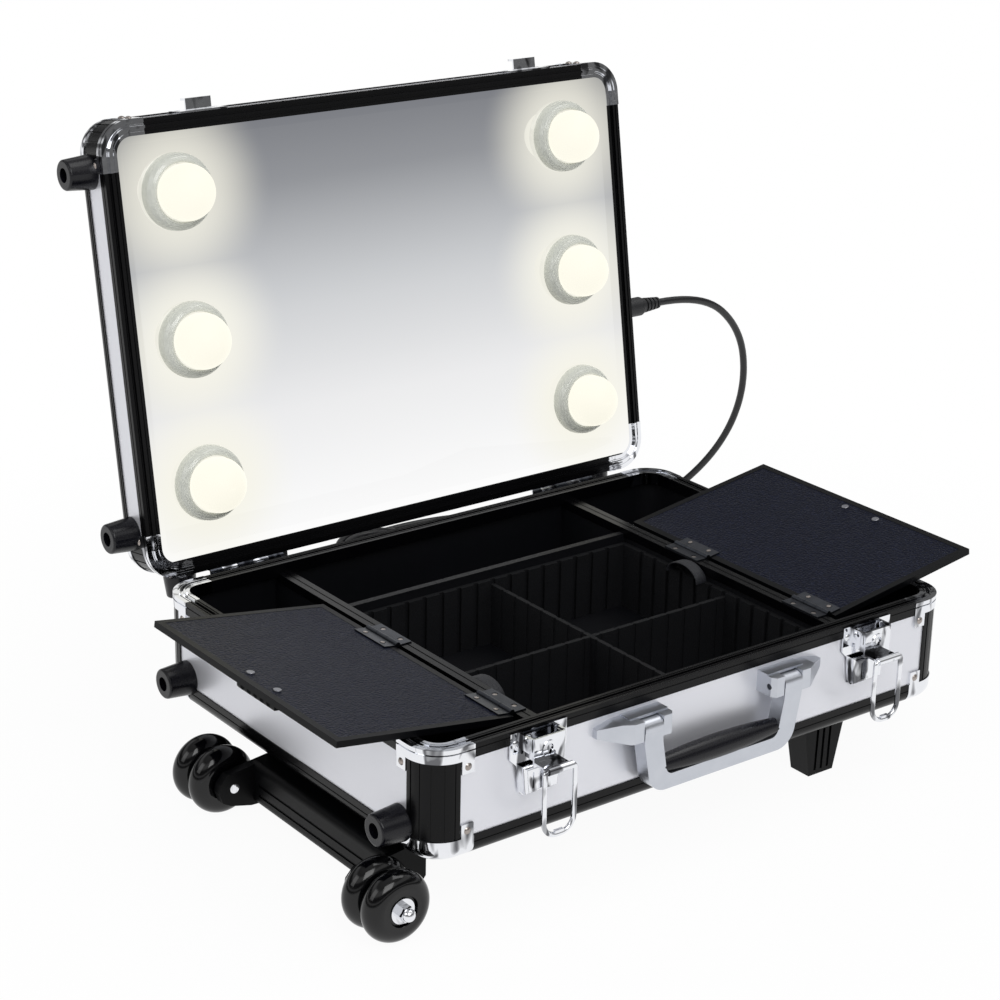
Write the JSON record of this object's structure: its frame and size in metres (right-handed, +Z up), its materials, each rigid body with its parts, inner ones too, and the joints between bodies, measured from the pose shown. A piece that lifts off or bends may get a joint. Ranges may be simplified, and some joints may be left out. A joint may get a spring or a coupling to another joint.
{
  "type": "makeup train case",
  "caption": "Wheeled makeup case standing open: lid with mirror and globe lamps, divided base, fold-out side tables, latches, carry handle and trolley grip.",
  "frame": {"origin": "on the floor under the centre of the base", "axes": "+X to the user's right along the width, -Y towards the user at the front, +Z up"},
  "size_m": [0.7725, 0.7005, 0.52],
  "materials": {
    "black_profile": "black anodised, fine lines",
    "silver_panel": "satin silver skin",
    "chrome": "bright plated",
    "cast": "satin casting",
    "steel": "satin",
    "rubber_black": "matt",
    "tyre": "semi-matt",
    "plastic_black": "fine matt",
    "foam_black": "matt foam",
    "lining_black": "matt",
    "leather_blue": "grained",
    "webbing": "woven",
    "mirror": "silvered",
    "board": "painted",
    "lamp_white": "gloss",
    "bulb": "frosted",
    "cord_black": "satin"
  },
  "bodies": {
    "base": {"base_profiles": "black_profile", "rail_caps": "black_profile", "trolley_sleeves": "black_profile", "base_panels": "silver_panel", "base_corners": "chrome", "base_rivets": "chrome", "latch_plates": "chrome", "axles": "chrome", "fixed_hinge_leaves": "steel", "pivot_pins": "steel", "handle_brackets": "cast", "base_bumpers": "rubber_black", "wheel_carrier": "plastic_black", "feet": "plastic_black", "slot_linings": "foam_black", "foam_dividers": "foam_black", "base_liner": "lining_black", "divider_walls": "lining_black", "pull_loops": "webbing", "base_floor": "board", "cord_run": "cord_black", "cord_coil": "cord_black", "plug": "cord_black"},
    "lid": {"lid_profiles": "black_profile", "lid_corners": "chrome", "lid_panels": "silver_panel", "lid_cover": "silver_panel", "lid_rivets": "chrome", "lid_bumpers": "rubber_black", "mirror": "mirror", "mirror_backing": "board", "mirror_bezel": "plastic_black", "lamp_skirts": "lamp_white", "bulb_globes": "bulb", "bulb_caps": "steel", "lamp_sockets": "lamp_white", "lid_catches": "chrome", "lid_hinge_leaves": "chrome", "strain_relief": "plastic_black"},
    "left_flap": {"left_flap_board": "leather_blue", "left_flap_binding": "plastic_black", "left_flap_pull": "plastic_black", "left_flap_hardware": "steel"},
    "right_flap": {"right_flap_board": "leather_blue", "right_flap_binding": "plastic_black", "right_flap_pull": "plastic_black", "right_flap_hardware": "steel"},
    "carry_handle": {"carry_handle": "cast", "carry_grip": "rubber_black"},
    "left_lever": {"left_latch_lever": "chrome"},
    "right_lever": {"right_latch_lever": "chrome"},
    "left_bail": {"left_latch_bail": "chrome"},
    "right_bail": {"right_latch_bail": "chrome"},
    "wheel_front_outer": {"wheel_front_outer": "tyre"},
    "wheel_front_inner": {"wheel_front_inner": "tyre"},
    "wheel_rear_inner": {"wheel_rear_inner": "tyre"},
    "wheel_rear_outer": {"wheel_rear_outer": "tyre"},
    "trolley": {"trolley_tubes": "steel", "trolley_grip": "plastic_black"}
  },
  "joints": [
    {"name": "lid_hinge", "type": "hinge", "parent": "base", "child": "lid", "pos_m": [0, 0.1952, 0.1332], "axis": [1, 0, 0], "range_deg": [0, 72]},
    {"name": "left_flap_hinge", "type": "hinge", "parent": "base", "child": "left_flap", "pos_m": [-0.163, 0, 0.134], "axis": [0, 1, 0], "range_deg": [0, 171.4]},
    {"name": "right_flap_hinge", "type": "hinge", "parent": "base", "child": "right_flap", "pos_m": [0.163, 0, 0.134], "axis": [0, -1, 0], "range_deg": [0, 171.4]},
    {"name": "carry_handle_pivot", "type": "hinge", "parent": "base", "child": "carry_handle", "pos_m": [0, -0.202, 0.117], "axis": [-1, 0, 0], "range_deg": [0, 95]},
    {"name": "left_lever_pivot", "type": "hinge", "parent": "base", "child": "left_lever", "pos_m": [-0.168, -0.197, 0.1335], "axis": [-1, 0, 0], "range_deg": [0, 100]},
    {"name": "left_bail_pivot", "type": "hinge", "parent": "left_lever", "child": "left_bail", "pos_m": [-0.168, -0.2165, 0.11625], "axis": [-1, 0, 0], "range_deg": [-4, 150]},
    {"name": "right_lever_pivot", "type": "hinge", "parent": "base", "child": "right_lever", "pos_m": [0.168, -0.197, 0.1335], "axis": [-1, 0, 0], "range_deg": [0, 100]},
    {"name": "right_bail_pivot", "type": "hinge", "parent": "right_lever", "child": "right_bail", "pos_m": [0.168, -0.2165, 0.11625], "axis": [-1, 0, 0], "range_deg": [-4, 150]},
    {"name": "wheel_front_outer_spin", "type": "hinge", "parent": "base", "child": "wheel_front_outer", "pos_m": [-0.29, -0.1835, 0.028], "axis": [0, 1, 0], "continuous": true},
    {"name": "wheel_front_inner_spin", "type": "hinge", "parent": "base", "child": "wheel_front_inner", "pos_m": [-0.29, -0.159, 0.028], "axis": [0, 1, 0], "continuous": true},
    {"name": "wheel_rear_inner_spin", "type": "hinge", "parent": "base", "child": "wheel_rear_inner", "pos_m": [-0.29, 0.0575, 0.028], "axis": [0, 1, 0], "continuous": true},
    {"name": "wheel_rear_outer_spin", "type": "hinge", "parent": "base", "child": "wheel_rear_outer", "pos_m": [-0.29, 0.082, 0.028], "axis": [0, 1, 0], "continuous": true},
    {"name": "trolley_slide", "type": "slide", "parent": "base", "child": "trolley", "axis": [1, 0, 0], "range_m": [0, 0.24]}
  ]
}
